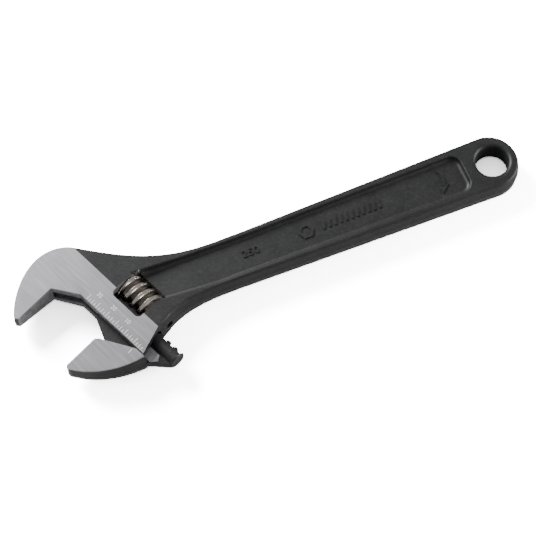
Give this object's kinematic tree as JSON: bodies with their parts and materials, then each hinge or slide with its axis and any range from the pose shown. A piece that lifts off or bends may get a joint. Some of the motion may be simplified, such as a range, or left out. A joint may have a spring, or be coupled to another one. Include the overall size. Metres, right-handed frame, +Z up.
{
  "type": "adjustable wrench",
  "caption": "Forged adjustable wrench with a worm-driven sliding jaw, ground jaw faces, a panelled black handle and a hang hole in the tail.",
  "frame": {"origin": "middle of the tool's footprint with the jaws open as drawn, on the surface it lies on", "axes": "+X along the handle towards the hang hole, +Z up out of the face that shows the scale; the jaws are at -X and the movable jaw opens towards -Y"},
  "size_m": [0.254, 0.0756, 0.017],
  "materials": {
    "black_forging": "black oxide on drop-forged steel, ground bare on both jaw cheeks",
    "jaw_steel": "cheeks ground bare, web and rack shank black oxide",
    "bright_worm": "turned and polished, oiled",
    "dark_pin": "black oxide",
    "spring_wire": "drawn wire"
  },
  "bodies": {
    "handle_and_fixed_jaw": {"wrench_body": "black_forging", "worm_pin": "dark_pin", "worm_spring": "spring_wire"},
    "sliding_jaw": {"movable_jaw": "jaw_steel"},
    "adjusting_worm": {"worm": "bright_worm"}
  },
  "joints": [
    {"name": "jaw_slide", "type": "slide", "parent": "handle_and_fixed_jaw", "child": "sliding_jaw", "axis": [0.3827, -0.9239, 0], "range_m": [-0.0332, 0.001]},
    {"name": "worm_spin", "type": "hinge", "parent": "handle_and_fixed_jaw", "child": "adjusting_worm", "pos_m": [-0.06749, 0.00027, 0.0085], "axis": [0.3827, -0.9239, 0], "range_deg": [-2570, 90]}
  ],
  "couplings": [
    {"joint": "worm_spin", "follows": "jaw_slide", "rad_per_m": 1336.8}
  ]
}
